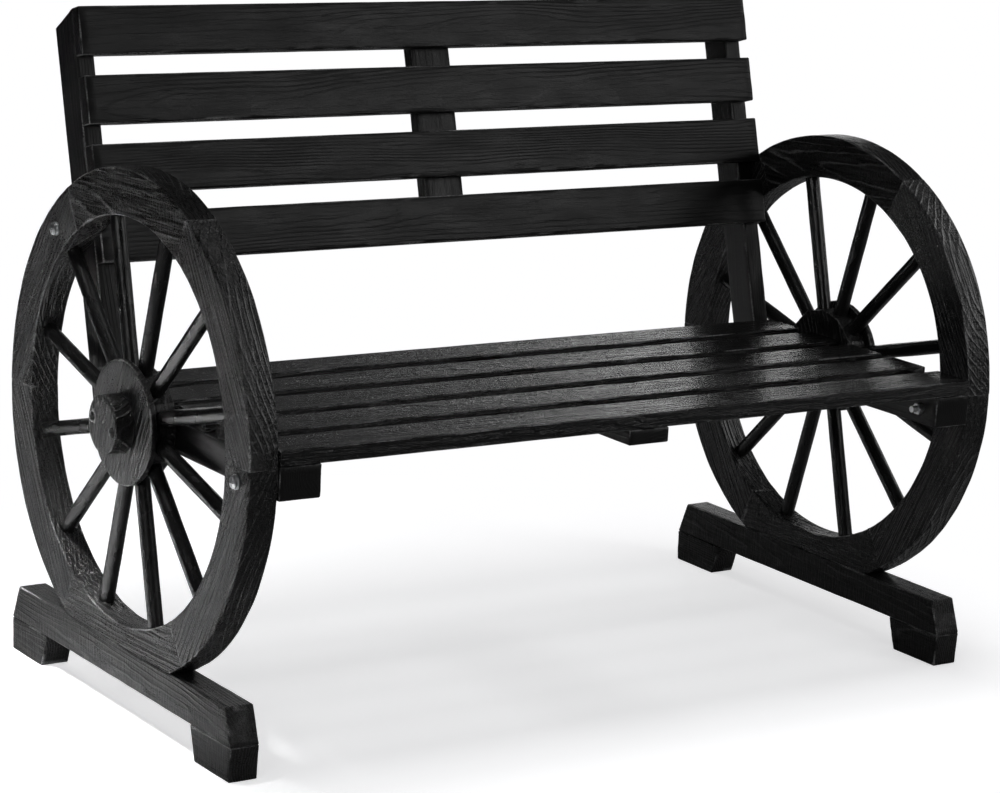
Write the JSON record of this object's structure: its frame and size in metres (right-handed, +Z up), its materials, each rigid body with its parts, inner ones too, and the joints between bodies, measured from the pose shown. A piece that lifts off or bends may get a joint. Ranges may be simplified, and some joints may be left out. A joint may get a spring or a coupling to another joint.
{
  "type": "wagon wheel bench",
  "caption": "Two-seat rustic garden bench in black-stained timber, with slatted seat and back hung between spoked wagon wheels that stand on skid rails with block feet.",
  "frame": {"origin": "On the floor, under the middle of the bench's bounding box.", "axes": "+X along the bench, to the right for someone who faces its front, +Y to the back, +Z up. The seat's front edge faces -Y."},
  "size_m": [1.1, 0.578, 0.7868],
  "materials": {
    "rough_timber": "rough-sawn softwood, opaque black stain, satin",
    "hub_timber": "rough-sawn softwood, opaque black stain, satin",
    "spoke_timber": "turned softwood, black paint, semi-gloss",
    "seat_timber": "softwood with raised grain, black paint, gloss",
    "back_timber": "softwood, opaque black stain, satin",
    "dowel_wood": "bare beech dowel, hidden in the joints",
    "zinc_plate": "bright zinc-plated steel",
    "black_screw": "black phosphated steel screw"
  },
  "bodies": {
    "root": {"left_felloe_top": "rough_timber", "left_felloe_upper_front": "rough_timber", "left_felloe_lower_front": "rough_timber", "left_felloe_bottom": "rough_timber", "left_felloe_lower_rear": "rough_timber", "left_felloe_upper_rear": "rough_timber", "left_rail": "rough_timber", "left_front_foot": "rough_timber", "left_rear_foot": "rough_timber", "left_felloe_dowels": "dowel_wood", "left_spokes": "spoke_timber", "left_hub_core": "hub_timber", "left_hub_disc": "hub_timber", "left_hub_cap": "hub_timber", "left_hub_screws": "black_screw", "left_seat_bearer": "back_timber", "left_back_post": "back_timber", "left_wheel_bolts": "zinc_plate", "left_bolt_washers": "zinc_plate", "left_bolt_nuts": "zinc_plate", "left_rail_screws": "black_screw", "left_foot_screws": "black_screw", "left_post_screws": "black_screw", "right_felloe_top": "rough_timber", "right_felloe_upper_front": "rough_timber", "right_felloe_lower_front": "rough_timber", "right_felloe_bottom": "rough_timber", "right_felloe_lower_rear": "rough_timber", "right_felloe_upper_rear": "rough_timber", "right_rail": "rough_timber", "right_front_foot": "rough_timber", "right_rear_foot": "rough_timber", "right_felloe_dowels": "dowel_wood", "right_spokes": "spoke_timber", "right_hub_core": "hub_timber", "right_hub_disc": "hub_timber", "right_hub_cap": "hub_timber", "right_hub_screws": "black_screw", "right_seat_bearer": "back_timber", "right_back_post": "back_timber", "right_wheel_bolts": "zinc_plate", "right_bolt_washers": "zinc_plate", "right_bolt_nuts": "zinc_plate", "right_rail_screws": "black_screw", "right_foot_screws": "black_screw", "right_post_screws": "black_screw", "seat_slat_1": "seat_timber", "seat_slat_2": "seat_timber", "seat_slat_3": "seat_timber", "seat_slat_4": "seat_timber", "seat_slat_5": "seat_timber", "back_slat_1": "back_timber", "back_slat_2": "back_timber", "back_slat_3": "back_timber", "back_slat_4": "back_timber", "seat_batten": "back_timber", "back_stile": "back_timber", "seat_slat_screws": "black_screw", "back_slat_screws": "black_screw"}
  },
  "joints": []
}
